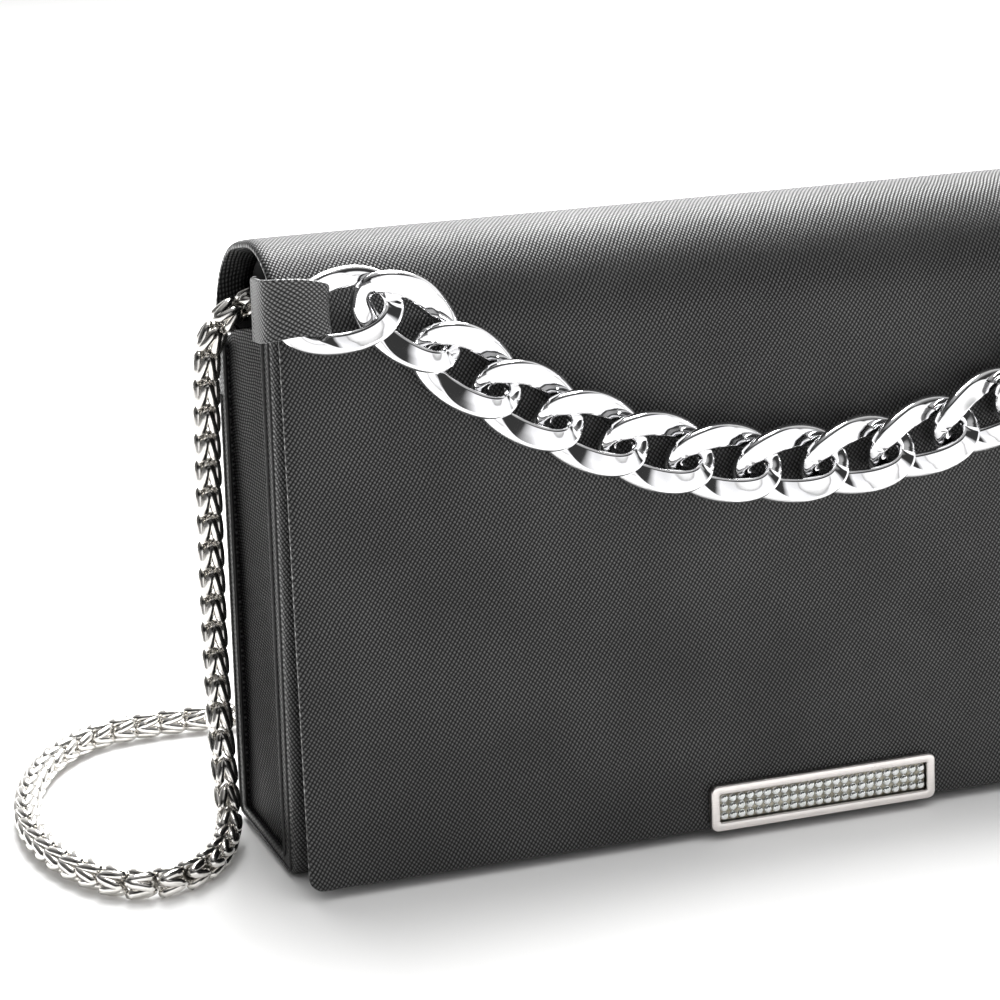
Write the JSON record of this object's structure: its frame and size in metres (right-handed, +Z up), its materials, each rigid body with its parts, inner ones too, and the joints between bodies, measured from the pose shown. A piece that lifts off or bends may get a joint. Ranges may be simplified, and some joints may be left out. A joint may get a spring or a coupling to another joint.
{
  "type": "evening bag",
  "caption": "Boxy black leather flap bag with a curb chain top handle on end rings, a crystal closure plate and a long shoulder chain laid behind it.",
  "frame": {"origin": "middle of the flat underside of the base", "axes": "+X along the bag's width to its right as seen from the front, +Y from the front flap to the back, +Z up"},
  "size_m": [0.3216, 0.1558, 0.1454],
  "materials": {
    "black_leather": "fine cross-grained, semi-gloss",
    "lining_fabric": "matte woven",
    "stiffener_board": "matte",
    "magnet_steel": "satin",
    "polished_chrome": "mirror",
    "pale_nickel": "polished",
    "closure_metal": "satin",
    "crystal": "faceted, clear, over a silvered back"
  },
  "bodies": {
    "bag": {"front_panel": "black_leather", "back_panel": "black_leather", "base_panel": "black_leather", "gusset_left": "black_leather", "gusset_right": "black_leather", "gusset_piping_left": "black_leather", "gusset_piping_right": "black_leather", "d_ring_loop_left": "black_leather", "d_ring_loop_right": "black_leather", "front_lining": "lining_fabric", "back_lining": "lining_fabric", "base_lining": "lining_fabric", "slip_pocket": "lining_fabric", "gusset_lining_left": "lining_fabric", "gusset_lining_right": "lining_fabric", "front_board": "stiffener_board", "back_board": "stiffener_board", "base_board": "stiffener_board", "body_magnet": "magnet_steel", "d_ring_left": "pale_nickel", "d_ring_right": "pale_nickel", "chain_end_link_left": "pale_nickel", "chain_end_link_right": "pale_nickel", "shoulder_chain_left": "pale_nickel", "shoulder_chain_coil": "pale_nickel", "shoulder_chain_right": "pale_nickel"},
    "flap": {"flap_skin": "black_leather", "flap_roll_stiffener": "stiffener_board", "flap_board": "stiffener_board", "flap_lining": "lining_fabric", "closure_plate": "closure_metal", "crystal_strip": "crystal", "flap_magnet": "magnet_steel", "tab_loop_left": "black_leather", "tab_loop_right": "black_leather", "tab_root_left": "black_leather", "tab_root_right": "black_leather"},
    "handle": {"curb_link_01": "polished_chrome", "curb_link_02": "polished_chrome", "curb_link_03": "polished_chrome", "curb_link_04": "polished_chrome", "curb_link_05": "polished_chrome", "curb_link_06": "polished_chrome", "curb_link_07": "polished_chrome", "curb_link_08": "polished_chrome", "curb_link_09": "polished_chrome", "curb_link_10": "polished_chrome", "curb_link_11": "polished_chrome", "curb_link_12": "polished_chrome", "curb_link_13": "polished_chrome", "curb_link_14": "polished_chrome", "end_ring_left": "polished_chrome", "end_ring_right": "polished_chrome"}
  },
  "joints": [
    {"name": "flap_hinge", "type": "hinge", "parent": "bag", "child": "flap", "pos_m": [0, 0.0245, 0.11765], "axis": [-1, 0, 0], "range_deg": [0, 120]},
    {"name": "handle_swing", "type": "hinge", "parent": "flap", "child": "handle", "pos_m": [0, -0.03466, 0.13906], "axis": [-1, 0, 0], "range_deg": [0, 180], "deforming": ["tab_loop_left", "tab_loop_right"]}
  ]
}
